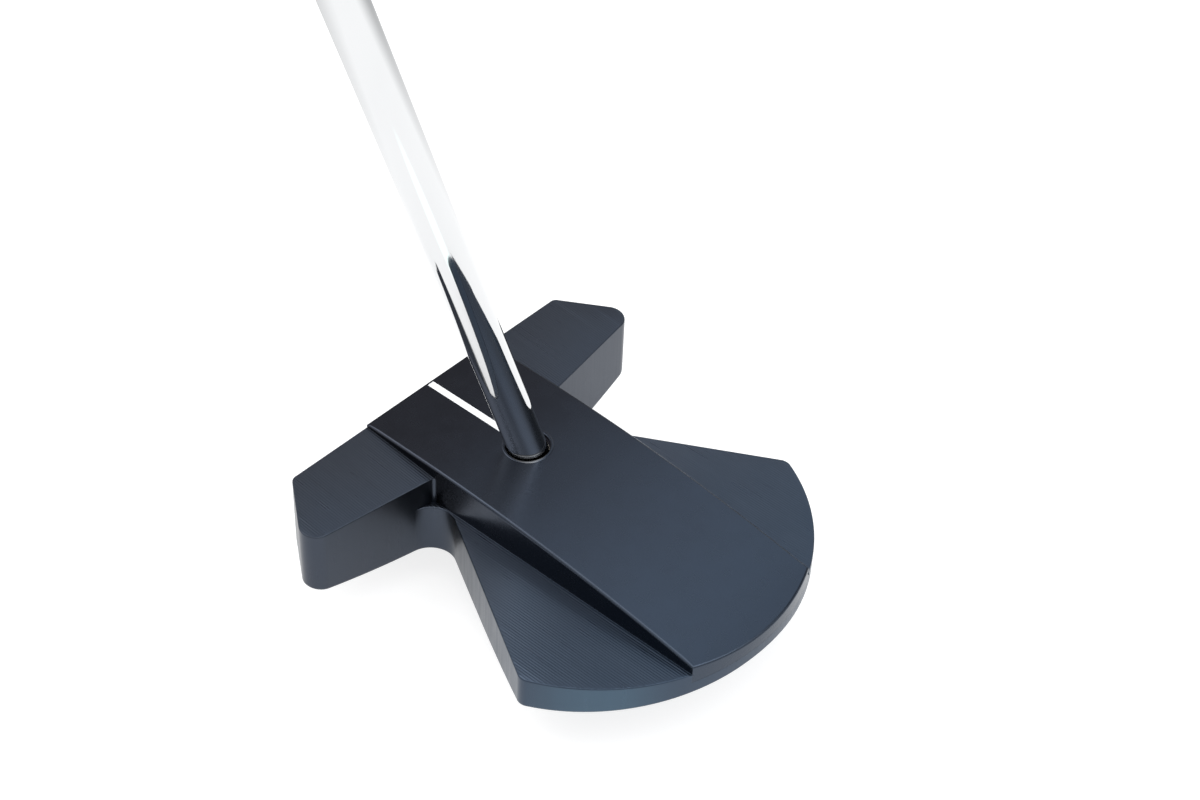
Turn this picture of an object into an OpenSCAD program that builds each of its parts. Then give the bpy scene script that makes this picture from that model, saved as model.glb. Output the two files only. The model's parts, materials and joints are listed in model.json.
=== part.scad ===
// Mallet putter, right-handed, centre-shafted, with a two-piece milled head.
// Millimetres. The origin is on the ground under the middle of the face's top
// edge. +Y runs back from the face, +X to the heel and the player, +Z up.

/* [Crown] */
// Width of the raised centre section, about one golf ball
crown_w = 42; // [38:0.5:46]
// Height of the head at the top edge of the face
face_h = 25; // [23:0.5:27]
// Distance behind the face over which the crown stays level
crown_flat = 16; // [10:1:24]
// Radius of the arc that drops the crown to the rear
crown_r = 455; // [420:5:520]
// Wall of the hollow centre section
crown_wall = 2; // [1.5:0.5:4]
// Loft of the face, in degrees
loft = 3; // [2:0.5:4]

/* [Wings and fans] */
// Height of the front wings at the face
wing_h = 24.2; // [22:0.2:24.4]
// Fall of the wing tops toward the rear, in millimetres per millimetre
wing_fall = 0.1; // [0.06:0.01:0.12]
// Half length of the face's top edge
face_half = 45.35; // [43:0.5:48]
// Outward flare of the wing ends, in millimetres per millimetre
wing_flare = 0.765; // [0.6:0.05:0.9]
// Depth of the front bar, measured 30 mm out from the middle
bar_d = 21; // [19:0.5:22]
// Height of the rear fans' upper surface
fan_h = 14.5; // [13:0.5:16]
// Half width of the fans, 60 mm behind the face
fan_half = 39.4; // [38:0.2:41]
// Radius of the rear arc
rear_r = 52.3; // [50:0.5:54]
// Distance from the face to the centre of the rear arc
rear_y = 54; // [52:0.5:56]

/* [Sole] */
// Half width of the level strip of the sole
sole_flat = 8; // [6:1:12]
// Distance from the face to where the sole starts to rise
sole_y = 50; // [44:1:56]
// Radius of the sole from heel to toe
sole_rx = 215; // [200:5:260]
// Radius of the sole toward the rear
sole_ry = 178; // [170:2:200]
// Height of the frame's floor under the centre section
web_z = 3.4; // [3:0.2:4]

/* [Weights] */
// Diameter of a weight's threaded body
weight_d = 10; // [8:0.5:11]
// Diameter of a weight's head
weight_head_d = 13; // [12:0.5:14]
// Length of a weight's threaded body
weight_len = 6; // [5:0.5:7]
// Gap between a thread and its hole, all round
thread_gap = 0.05; // [0.03:0.01:0.09]

/* [Shaft] */
// Outer diameter of the shaft at its tip
tip_d = 9.4; // [9:0.1:9.6]
// Outer diameter of each step above the last one
step_up = 0.53; // [0.4:0.01:0.6]
// Number of steps
steps = 10; // [6:1:11]
// Length of the plain part at the tip
tip_len = 300; // [250:10:340]
// Length of each step
step_len = 32; // [28:1:36]
// Overall length of the shaft
shaft_len = 850; // [800:10:900]
// Wall of the shaft tube
shaft_wall = 0.55; // [0.5:0.05:0.8]
// Lie, the angle between the shaft and the ground
lie = 70.5; // [69:0.5:72]
// Distance from the face to the shaft
shaft_y = 32.6; // [30:0.2:35]
// Depth of the shaft's bore, along the shaft
bore_depth = 18; // [16:0.5:19]

/* [Grip] */
// Length of the grip
grip_len = 267; // [250:1:280]
// Diameter of the grip at its mouth
grip_mouth_d = 20; // [19:0.5:22]
// Diameter of the grip at the butt
grip_butt_d = 29; // [27:0.5:31]
// Thickness of the grip tape
tape_t = 0.2; // [0.1:0.05:0.3]

/* [Hidden] */
$fn = 96;

navy = [0.20, 0.22, 0.28];
slate = [0.24, 0.27, 0.33];
chrome = [0.85, 0.86, 0.87];
steel = [0.55, 0.56, 0.58];

// Solids that cut through everything are this large
big = 200;

crown_half = crown_w / 2;
face_wall = crown_wall + 2;
roof = crown_wall + 0.5;
front_y = -face_h * tan(loft);

// The bar's rear edge runs forward with distance from the middle
bar_x = 30;
bar_taper = 0.14;
fan_y = 60;
fan_flare = 0.575;
wing_corner_r = 4;
notch_r = 6;
fan_corner_r = 3;

// The frame's floor under the crown rises to the rear
web_slope = 0.16;
film_t = 0.2;
film_inset = 0.5;

// Painted line in a groove of the crown
line_w = 2;
line_depth = 0.3;
line_start = 0.6;

// Bore of the shaft, with a wider mouth that has a chamfered rim
bond_gap = 0.15;
tip_gap = 0.3;
mouth_r = 5.5;
mouth_depth = 3;
rim_r = 6.05;
rim_depth = 0.5;
boss_r = 8;
line_end = shaft_y - rim_r - 0.4;

// Screws that hold the crown, with their spots from the middle and the face
screw_r = 2;
screw_head_r = 3.8;
screw_sink = 1.8;
screw_len = 9;
screw_gap = 0.05;
screw_key_r = 1.4;
screw_key_depth = 1.2;
post_r = 4.5;
screw_spots = [[15, 11], [-15, 11], [15, 76], [-15, 76]];

// Sole weights
washer_t = 0.5;
washer_gap = 0.2;
head_t = 2;
key_r = 2.9;
key_depth = 4;
well = 1.5;
spot_drop = 0.4;
front_spot = [41, 10];
rear_spot = [35, 66];

// The grip's flat side, and how far the grip and its tape overhang
grip_flat = 0.6;
butt_gap = 1;
tape_inset = 2;
cap_t = 3;
cap_chamfer = 1.5;
plug_len = 6;
plug_gap = 0.2;
vent_r = 1.2;

// Height of the sole surface over the ground
function sole_z(x, y) =
    (y > sole_y ? sole_ry - sqrt(pow(sole_ry, 2) - pow(y - sole_y, 2)) : 0)
    + (abs(x) > sole_flat ? sole_rx - sqrt(pow(sole_rx, 2) - pow(abs(x) - sole_flat, 2)) : 0);

// Height of the crown's upper surface
function crown_z(y) =
    y > crown_flat ? face_h - crown_r + sqrt(pow(crown_r, 2) - pow(y - crown_flat, 2)) : face_h;

function unit(v) = v / norm(v);

// Points of a corner at p, between its neighbours a and b, rounded to radius r
function rounded(a, p, b, r, n = 10) =
    let (u = unit(a - p), v = unit(b - p), half = acos(u * v) / 2)
    let (c = p + unit(u + v) * r / sin(half))
    let (s = p + u * r / tan(half) - c, e = p + v * r / tan(half) - c)
    let (a0 = atan2(s[1], s[0]), turn = atan2(s[0] * e[1] - s[1] * e[0], s * e))
    [for (i = [0 : n]) c + r * [cos(a0 + turn * i / n), sin(a0 + turn * i / n)]];

// Plan corners of the head on the heel side
face_corner = [face_half + wing_flare * front_y, front_y];
wing_y = (bar_d - bar_taper * (face_half - bar_x)) / (1 + bar_taper * wing_flare);
wing_corner = [face_half + wing_flare * wing_y, wing_y];
notch_y = (bar_d - bar_taper * (fan_half - bar_x - fan_y * fan_flare)) / (1 + bar_taper * fan_flare);
notch_corner = [fan_half + fan_flare * (notch_y - fan_y), notch_y];
bar_inner = [crown_half - 2, bar_d - bar_taper * (crown_half - 2 - bar_x)];

// The side of a fan runs from the notch to the rear arc
side_x = fan_half + fan_flare * (rear_y - fan_y);
side_a = 1 + pow(fan_flare, 2);
side_t = (sqrt(pow(fan_flare * side_x, 2) - side_a * (pow(side_x, 2) - pow(rear_r, 2)))
          - fan_flare * side_x) / side_a;
fan_corner = [side_x + fan_flare * side_t, rear_y + side_t];
fan_corner_angle = atan2(side_t, side_x + fan_flare * side_t);
arc_start = fan_corner_angle + 3;

wing_round = rounded(face_corner, wing_corner, notch_corner, wing_corner_r);
notch_round = rounded(wing_corner, notch_corner, fan_corner, notch_r);
arc_way = [-sin(fan_corner_angle), cos(fan_corner_angle)];
fan_round = rounded(notch_corner, fan_corner, fan_corner + arc_way, fan_corner_r);
rear_arc = [for (i = [0 : 30])
    let (a = arc_start + (90 - arc_start) * i / 30)
    [rear_r * cos(a), rear_y + rear_r * sin(a)]];

function mirrored(points) = [for (i = [len(points) - 1 : -1 : 0]) [-points[i][0], points[i][1]]];

module both_sides(points) {
    polygon(concat(points, mirrored(points)));
}

module head_plan() {
    both_sides(concat([face_corner], wing_round, notch_round, fan_round, rear_arc));
}

module bar_plan() {
    both_sides(concat([face_corner], wing_round, [bar_inner]));
}

// The sole's shape from heel to toe, as the region over it
module sole_profile() {
    intersection() {
        union() {
            for (side = [-1, 1])
                translate([side * sole_flat, sole_rx]) circle(r = sole_rx, $fn = 360);
            translate([-sole_flat, 0]) square([2 * sole_flat, 50]);
        }
        translate([-80, 0]) square([160, 50]);
    }
}

// Everything over the sole's surface
module over_sole() {
    translate([0, sole_y, 0]) rotate([90, 0, 0])
        linear_extrude(sole_y + 20) sole_profile();
    translate([0, sole_y, sole_ry]) rotate([0, 90, 0])
        rotate_extrude(angle = 45, $fn = 360)
            translate([sole_ry, 0]) rotate([0, 0, 90]) sole_profile();
}

// Everything over the frame's floor under the crown, lifted by rise
module over_web(rise = 0) {
    front = web_z + rise;
    back = front + web_slope * (big - sole_y);
    translate([-big / 2, 0, 0]) rotate([90, 0, 90]) linear_extrude(big)
        polygon([[-20, front], [sole_y, front], [big, back], [big, 60], [-20, 60]]);
}

// Everything behind the lofted face, moved back by inset
module behind_face(inset = 0) {
    translate([-big / 2, front_y + inset, 0]) rotate([-loft, 0, 0])
        translate([0, 0, -10]) cube([big, big, 60]);
}

// Everything under the crown's upper surface, lowered by inset
module under_crown(inset = 0) {
    translate([-big / 2, 0, 0]) rotate([90, 0, 90]) linear_extrude(big)
        intersection() {
            translate([-20, -5]) square([150, face_h + 5 - inset]);
            union() {
                translate([-20, -5]) square([20 + crown_flat, face_h + 5 - inset]);
                translate([crown_flat, face_h - crown_r - inset]) circle(r = crown_r, $fn = 360);
            }
        }
}

// A strip as wide as the crown, ending on the rear arc
module crown_plan(inset) {
    intersection() {
        translate([-crown_half + inset, -5]) square([crown_w - 2 * inset, big]);
        union() {
            translate([-crown_half, -5]) square([crown_w, rear_y + 5]);
            translate([0, rear_y]) circle(r = rear_r - inset);
        }
    }
}

// Places its children on the shaft's axis, at the crown, with +Z up the shaft
module on_shaft() {
    translate([0, shaft_y, face_h]) rotate([0, 90 - lie, 0]) children();
}

// Places its children in a weight's seat, with +Z pointing into the head
module at_spot(spot, side) {
    translate([side * spot[0], spot[1], sole_z(spot[0], spot[1]) + spot_drop]) children();
}

module weight_seat() {
    translate([0, 0, -10])
        cylinder(h = 10 + head_t + washer_t, d = weight_head_d + 2 * thread_gap);
    cylinder(h = head_t + washer_t + weight_len + well, d = weight_d + 2 * thread_gap);
}

module weight(spot, side) {
    at_spot(spot, side) difference() {
        union() {
            cylinder(h = head_t, d = weight_head_d);
            cylinder(h = head_t + washer_t + weight_len, d = weight_d);
        }
        translate([0, 0, -1]) cylinder(h = key_depth + 1, r = key_r, $fn = 6);
    }
}

module washer(spot, side) {
    at_spot(spot, side) translate([0, 0, head_t]) difference() {
        cylinder(h = washer_t, d = weight_head_d - 2 * washer_gap);
        translate([0, 0, -1]) cylinder(h = washer_t + 2, d = weight_d + 2 * thread_gap);
    }
}

module block_screw_holes() {
    for (spot = screw_spots)
        at_spot([spot[0], spot[1]], 1) {
            translate([0, 0, -5]) cylinder(h = screw_len + 5.5, r = screw_r + screw_gap);
            translate([0, 0, -5]) cylinder(h = 5, r = screw_head_r + screw_gap);
            cylinder(h = screw_sink, r1 = screw_head_r + screw_gap, r2 = screw_r + screw_gap);
        }
}

module wing_frame() {
    color(slate) difference() {
        intersection() {
            union() {
                linear_extrude(fan_h) head_plan();
                linear_extrude(face_h) bar_plan();
            }
            over_sole();
            behind_face();
            translate([-big / 2, 0, wing_h]) rotate([-atan(wing_fall), 0, 0])
                translate([0, -20, -40]) cube([big, big, 40]);
        }
        intersection() {
            translate([-crown_half, -10, 0]) cube([crown_w, big, 40]);
            over_web();
        }
        for (side = [-1, 1], spot = [front_spot, rear_spot])
            at_spot(spot, side) weight_seat();
        block_screw_holes();
    }
}

module center_block() {
    color(navy) difference() {
        intersection() {
            linear_extrude(face_h) crown_plan(0);
            over_web(film_t);
            behind_face();
            under_crown();
        }
        difference() {
            intersection() {
                linear_extrude(face_h) crown_plan(crown_wall);
                behind_face(face_wall);
                under_crown(roof);
            }
            on_shaft() translate([0, 0, -40]) cylinder(h = 60, r = boss_r);
            for (spot = screw_spots)
                translate([spot[0], spot[1], 0]) cylinder(h = face_h, r = post_r);
        }
        on_shaft() {
            translate([0, 0, -bore_depth]) cylinder(h = bore_depth + 10, r = tip_d / 2 + bond_gap);
            translate([0, 0, -mouth_depth]) cylinder(h = mouth_depth + 10, r = mouth_r);
        }
        translate([0, shaft_y, crown_z(shaft_y) - rim_depth])
            cylinder(h = 2 * rim_depth, r1 = rim_r - rim_depth, r2 = rim_r + rim_depth);
        block_screw_holes();
        difference() {
            alignment_strip();
            under_crown(line_depth);
        }
    }
}

module alignment_strip() {
    translate([-line_w / 2, line_start, 0])
        cube([line_w, line_end - line_start, big]);
}

module alignment_line() {
    color("white") difference() {
        intersection() {
            alignment_strip();
            under_crown();
        }
        under_crown(line_depth);
    }
}

// A thin film between the frame's web and the rim of the hollow block
module bond_film() {
    color("black") difference() {
        intersection() {
            linear_extrude(face_h) crown_plan(film_inset);
            over_web();
            behind_face(film_inset);
        }
        over_web(film_t);
        intersection() {
            linear_extrude(face_h) crown_plan(crown_wall);
            behind_face(face_wall);
        }
    }
}

module block_screws() {
    color(steel) for (spot = screw_spots)
        at_spot([spot[0], spot[1]], 1) difference() {
            union() {
                cylinder(h = screw_len, r = screw_r);
                cylinder(h = screw_sink, r1 = screw_head_r, r2 = screw_r);
            }
            translate([0, 0, -1]) cylinder(h = screw_key_depth + 1, r = screw_key_r, $fn = 6);
        }
}

// Outer radius of the shaft above its first k steps
function step_r(k) = (tip_d + k * step_up) / 2;

// Outline of the shaft tube, from its tip to its butt
outer_wall = [for (k = [0 : steps])
    each [[step_r(k), k == 0 ? 0 : tip_len + (k - 1) * step_len],
          [step_r(k), k == steps ? shaft_len : tip_len + k * step_len - 1]]];

module shaft() {
    color(chrome) on_shaft() translate([0, 0, tip_gap - bore_depth])
        rotate_extrude() polygon(concat(outer_wall,
            [for (i = [len(outer_wall) - 1 : -1 : 0]) outer_wall[i] - [shaft_wall, 0]]));
}

module shaft_bond() {
    color("gray") on_shaft() translate([0, 0, tip_gap - bore_depth]) difference() {
        cylinder(h = bore_depth - mouth_depth - 1, r = tip_d / 2 + bond_gap);
        translate([0, 0, -1]) cylinder(h = bore_depth, r = tip_d / 2);
    }
}

butt_r = step_r(steps);
grip_z = tip_gap - bore_depth + shaft_len + butt_gap - grip_len;

// Everything on the round side of the grip's flat
module round_side(length) {
    translate([grip_flat - grip_mouth_d / 2, -big / 2, -1]) cube([big, big, length + 2]);
}

module grip_tape() {
    color("tan") on_shaft() translate([0, 0, grip_z + tape_inset]) difference() {
        cylinder(h = grip_len - 2 * tape_inset, r = butt_r + tape_t);
        translate([0, 0, -1]) cylinder(h = grip_len, r = butt_r);
    }
}

module grip() {
    color([0.1, 0.1, 0.11]) on_shaft() translate([0, 0, grip_z]) difference() {
        intersection() {
            cylinder(h = grip_len, r1 = grip_mouth_d / 2, r2 = grip_butt_d / 2);
            round_side(grip_len);
        }
        translate([0, 0, -1]) cylinder(h = grip_len + 2, r = butt_r + tape_t);
    }
}

module grip_cap() {
    color([0.15, 0.15, 0.16]) on_shaft() translate([0, 0, grip_z + grip_len]) difference() {
        union() {
            intersection() {
                cylinder(h = cap_t, r1 = grip_butt_d / 2, r2 = grip_butt_d / 2 - cap_chamfer);
                round_side(cap_t);
            }
            translate([0, 0, -plug_len])
                cylinder(h = plug_len + 1, r = butt_r - shaft_wall - plug_gap);
        }
        translate([0, 0, -plug_len - 1]) cylinder(h = plug_len + cap_t + 2, r = vent_r);
    }
}

module heel_front_weight() {
    color(steel) weight(front_spot, 1);
}

module toe_front_weight() {
    color(steel) weight(front_spot, -1);
}

module heel_rear_weight() {
    color(steel) weight(rear_spot, 1);
}

module toe_rear_weight() {
    color(steel) weight(rear_spot, -1);
}

module heel_front_washer() {
    color("black") washer(front_spot, 1);
}

module toe_front_washer() {
    color("black") washer(front_spot, -1);
}

module heel_rear_washer() {
    color("black") washer(rear_spot, 1);
}

module toe_rear_washer() {
    color("black") washer(rear_spot, -1);
}

wing_frame();
center_block();
bond_film();
block_screws();
alignment_line();
shaft();
shaft_bond();
grip();
grip_tape();
grip_cap();
heel_front_weight();
toe_front_weight();
heel_rear_weight();
toe_rear_weight();
heel_front_washer();
toe_front_washer();
heel_rear_washer();
toe_rear_washer();
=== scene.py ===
"""Mallet putter: two-piece milled head, chrome shaft, rubber grip and screw-in sole weights.

Shapes are worked out in millimetres in the CAD frame: +X heel, +Y rear, +Z up.
"""
import json
import math

import bmesh
import bpy
from mathutils import Matrix, Vector
from mathutils.geometry import delaunay_2d_cdt

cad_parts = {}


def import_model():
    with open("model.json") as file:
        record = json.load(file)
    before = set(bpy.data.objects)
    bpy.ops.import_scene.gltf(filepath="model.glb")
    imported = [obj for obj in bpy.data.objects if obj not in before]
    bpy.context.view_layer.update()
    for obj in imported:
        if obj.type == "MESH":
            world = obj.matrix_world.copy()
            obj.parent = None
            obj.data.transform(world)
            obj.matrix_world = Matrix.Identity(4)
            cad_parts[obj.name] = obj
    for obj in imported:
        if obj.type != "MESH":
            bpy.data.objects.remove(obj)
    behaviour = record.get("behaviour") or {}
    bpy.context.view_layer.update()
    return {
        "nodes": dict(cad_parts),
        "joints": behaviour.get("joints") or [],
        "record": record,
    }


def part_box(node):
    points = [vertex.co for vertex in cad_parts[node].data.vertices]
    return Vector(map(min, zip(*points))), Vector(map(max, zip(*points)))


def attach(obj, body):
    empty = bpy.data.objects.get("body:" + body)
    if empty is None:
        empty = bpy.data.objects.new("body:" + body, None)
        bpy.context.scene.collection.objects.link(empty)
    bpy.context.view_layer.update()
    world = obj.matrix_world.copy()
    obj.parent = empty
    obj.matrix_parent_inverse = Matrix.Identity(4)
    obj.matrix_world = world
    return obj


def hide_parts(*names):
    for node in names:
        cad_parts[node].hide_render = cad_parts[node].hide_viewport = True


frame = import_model()
record = frame["record"]

MM = 0.001
TAU = 2 * math.pi


# ---------------------------------------------------------------- driving dimensions

def box_mm(node):
    """Low and high corners of a CAD node's box."""
    low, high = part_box(node)
    return low / MM, high / MM


def mount(name):
    """The record's mount with this name."""
    return next(m for m in record["mounts"] if m["name"] == name)


block_high = box_mm("center_block")[1]
film_low = box_mm("bond_film")[0]
line_low, line_high = box_mm("alignment_line")
washer_low, washer_high = box_mm("heel_front_washer")

# Crown block: half its width, its height, its rear arc and the fall of its top
CROWN_HALF = block_high.x
FACE_H = block_high.z
REAR_R = 52.3
REAR_Y = block_high.y - REAR_R
WEB_Z = film_low.z
CROWN_FLAT = 16
CROWN_R = 455
LOFT = math.tan(math.radians(3))

# Front wings: height, rearward fall, half width of the face, flare, depth of the bar
WING_H = 24.2
WING_FALL = 0.1
FACE_HALF = 45.35
WING_FLARE = 0.765
BAR_D = 21
BAR_X = 30
BAR_TAPER = 0.14

# Rear fans: height and flared side
FAN_H = 14.5
FAN_HALF = 39.4
FAN_Y = 60
FAN_FLARE = 0.575

# Corner radii in plan
FACE_CORNER_R = 2
WING_CORNER_R = 4
NOTCH_R = 6
FAN_CORNER_R = 3

# Sole's camber, and the web's rise under the crown
SOLE_FLAT = 8
SOLE_Y = 50
SOLE_RX = 215
SOLE_RY = 178
WEB_SLOPE = 0.16

# Edge roundings
SOLE_EDGE = 0.7
WING_EDGE = 0.35
FAN_EDGE = 0.42
CROWN_EDGE = 0.3
CROWN_SIDE_EDGE = 0.8
CROWN_REAR_EDGE = 0.5
COVE_R = 0.9
ROUND_STEPS = 4

# Milled lines
MILL_PITCH = 0.65
MILL_DEPTH = 0.05
MILL_SKIM = 0.004

# Shaft: its axis, from its mount, and its stepped tube
AXIS = -Vector(mount("clip_seat")["axis"]).normalized()
SHAFT_Y = mount("clip_seat")["pos_m"][1] / MM
SHAFT_FOOT = Vector((0, SHAFT_Y, FACE_H))
ACROSS = Vector((AXIS.z, 0, -AXIS.x))
BESIDE = Vector((0, 1, 0))
TIP_R = 4.7
STEP_UP = 0.265
STEPS = 10
TIP_LEN = 300
STEP_LEN = 32
SHAFT_LEN = 850
TIP_AT = -17.7
TUBE_WALL = 0.55

# Bore, with its mouth and the raised lip round it
BORE_DEPTH = 18
BORE_R = 4.85
MOUTH_R = 5.12
MOUTH_DEPTH = 3
MOUTH_SHIFT = 0.25
MOUTH_FOOT = SHAFT_FOOT - ACROSS * MOUTH_SHIFT
BEAD_R = 5.6
BEAD_W = 0.45
BEAD_H = 0.22

# Grip
GRIP_LEN = 267
GRIP_MOUTH_R = 10
GRIP_BUTT_R = 14.5
GRIP_FLAT = 9.4
GRIP_AT = TIP_AT + SHAFT_LEN + 1 - GRIP_LEN
RIB_ZONES = ((22, 118), (136, 236))
RIB_PITCH = 3.2
RIB_DEPTH = 0.34

# Sole weights, and the screws under the crown
WEIGHT_HEAD_R = 6.5
WEIGHT_HEAD_T = 2
WEIGHT_R = 5
WEIGHT_TOP = 8.5
WASHER_GAP = 0.01
THREAD_PITCH = 1.25
KEY_R = 2.9
KEY_DEPTH = 4
SPOT_DROP = 0.4
SCREW_SPOTS = [(15, 11), (15, 76)]
SCREW_R = 2
SCREW_HEAD_R = 3.8
SCREW_SINK = 1.8


def sole_z(x, y):
    """Height of the cambered sole."""
    z = 0.0
    if y > SOLE_Y:
        z += SOLE_RY - math.sqrt(SOLE_RY ** 2 - (y - SOLE_Y) ** 2)
    if abs(x) > SOLE_FLAT:
        z += SOLE_RX - math.sqrt(SOLE_RX ** 2 - (abs(x) - SOLE_FLAT) ** 2)
    return z


def crown_z(y):
    """Height of the crown's upper surface."""
    if y <= CROWN_FLAT:
        return FACE_H
    return FACE_H - CROWN_R + math.sqrt(CROWN_R ** 2 - (y - CROWN_FLAT) ** 2)


def web_z(y):
    """Height of the frame's floor under the crown."""
    return WEB_Z + WEB_SLOPE * max(0, y - SOLE_Y)


def wing_z(y):
    """Height of the wings' upper surface."""
    return WING_H - WING_FALL * y


# ---------------------------------------------------------------- mesh tools

class Skin:
    """Points and faces in millimetres, welded into one mesh when it is built."""

    def __init__(self):
        self.points = []
        self.faces = []

    def add(self, points):
        start = len(self.points)
        self.points += [tuple(p) for p in points]
        return range(start, len(self.points))

    def face(self, points):
        self.faces.append(tuple(self.add(points)))

    def grid(self, rows, closed=False):
        """Quads between rows of points; closed rows join end to start."""
        rings = [self.add(row) for row in rows]
        for a, b in zip(rings, rings[1:]):
            count = len(a)
            for i in range(count if closed else count - 1):
                j = (i + 1) % count
                self.faces.append((a[i], a[j], b[j], b[i]))

    def mirror(self):
        """Adds the same shape on the toe side."""
        start = len(self.points)
        self.points += [(-x, y, z) for x, y, z in self.points]
        self.faces += [tuple(start + i for i in reversed(f)) for f in self.faces]

    def build(self, name, weld=0.003):
        mesh = bpy.data.meshes.new(name)
        mesh.from_pydata([Vector(p) * MM for p in self.points], [], self.faces)
        shape = bmesh.new()
        shape.from_mesh(mesh)
        bmesh.ops.remove_doubles(shape, verts=shape.verts, dist=weld * MM)
        bmesh.ops.dissolve_degenerate(shape, edges=shape.edges, dist=weld * MM)
        bmesh.ops.recalc_face_normals(shape, faces=shape.faces)
        if shape.calc_volume(signed=True) < 0:
            bmesh.ops.reverse_faces(shape, faces=shape.faces)
        shape.to_mesh(mesh)
        shape.free()
        piece = bpy.data.objects.new(name, mesh)
        bpy.context.scene.collection.objects.link(piece)
        return piece


def soften(piece, sharp=34):
    """Smooth shading, with hard edges over an angle and flats kept flat."""
    shape = bmesh.new()
    shape.from_mesh(piece.data)
    for face in shape.faces:
        face.smooth = True
    limit = math.radians(sharp)
    for edge in shape.edges:
        edge.smooth = len(edge.link_faces) == 2 and edge.calc_face_angle(0) < limit
    shape.to_mesh(piece.data)
    shape.free()
    weighted = piece.modifiers.new("even normals", "WEIGHTED_NORMAL")
    weighted.keep_sharp = True
    return piece


def cut(piece, cutters, operation="DIFFERENCE"):
    """Takes the cutters out of the piece, or joins them to it, and deletes them."""
    for cutter in cutters:
        boolean = piece.modifiers.new("cut", "BOOLEAN")
        boolean.object = cutter
        boolean.operation = operation
        boolean.solver = "EXACT"
        bpy.context.view_layer.update()
        depsgraph = bpy.context.evaluated_depsgraph_get()
        mesh = bpy.data.meshes.new_from_object(piece.evaluated_get(depsgraph))
        piece.modifiers.remove(boolean)
        piece.data = mesh
        bpy.data.objects.remove(cutter)
    return piece


def ring(radius, z, count=60):
    """A level circle of points."""
    return [Vector((radius * math.cos(TAU * i / count), radius * math.sin(TAU * i / count), z))
            for i in range(count)]


def hex_ring(radius, z, count=60):
    """A hexagon with its corners at radius, with as many points as a ring."""
    points = []
    for i in range(count):
        turn = TAU * i / count
        flat = radius * math.cos(TAU / 12) / math.cos(turn % (TAU / 6) - TAU / 12)
        points.append(Vector((flat * math.cos(turn), flat * math.sin(turn), z)))
    return points


def lathe(profile, count=60):
    """Rings of a turned shape; profile is a list of (radius, height)."""
    return [ring(r, z, count) for r, z in profile]


def along_shaft(rows):
    """Rows given round the shaft's axis, moved onto it."""
    return [[SHAFT_FOOT + ACROSS * p.x + BESIDE * p.y + AXIS * p.z for p in row] for row in rows]


def moved(rows, offset):
    """Rows shifted by an offset."""
    return [[p + Vector(offset) for p in row] for row in rows]


def capped(rows, skin=None):
    """A closed mesh from closed rows, with both ends shut, in a new skin or a given one."""
    skin = skin or Skin()
    skin.grid(rows, closed=True)
    skin.face(rows[0])
    skin.face(rows[-1])
    return skin


def between(a, b, count):
    """Points from a up to but without b."""
    return [a + (b - a) * i / count for i in range(count)]


def fillet(a, p, b, radius, count):
    """Points of the corner at p, between its neighbours a and b, rounded to a radius."""
    u = (a - p).normalized()
    v = (b - p).normalized()
    half = u.angle(v) / 2
    centre = p + (u + v).normalized() * radius / math.sin(half)
    start = p + u * radius / math.tan(half) - centre
    end = p + v * radius / math.tan(half) - centre
    first = math.atan2(start.y, start.x)
    turn = math.atan2(start.x * end.y - start.y * end.x, start.dot(end))
    return [centre + Vector((math.cos(first + turn * i / count), math.sin(first + turn * i / count)))
            * radius for i in range(count + 1)]


def quarter(step):
    """Inset and drop of an edge rounding, from the wall (step 0) to the top, for radius 1."""
    turn = step / ROUND_STEPS * TAU / 4
    return 1 - math.cos(turn), 1 - math.sin(turn)


# ---------------------------------------------------------------- plan of the head, heel side

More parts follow.
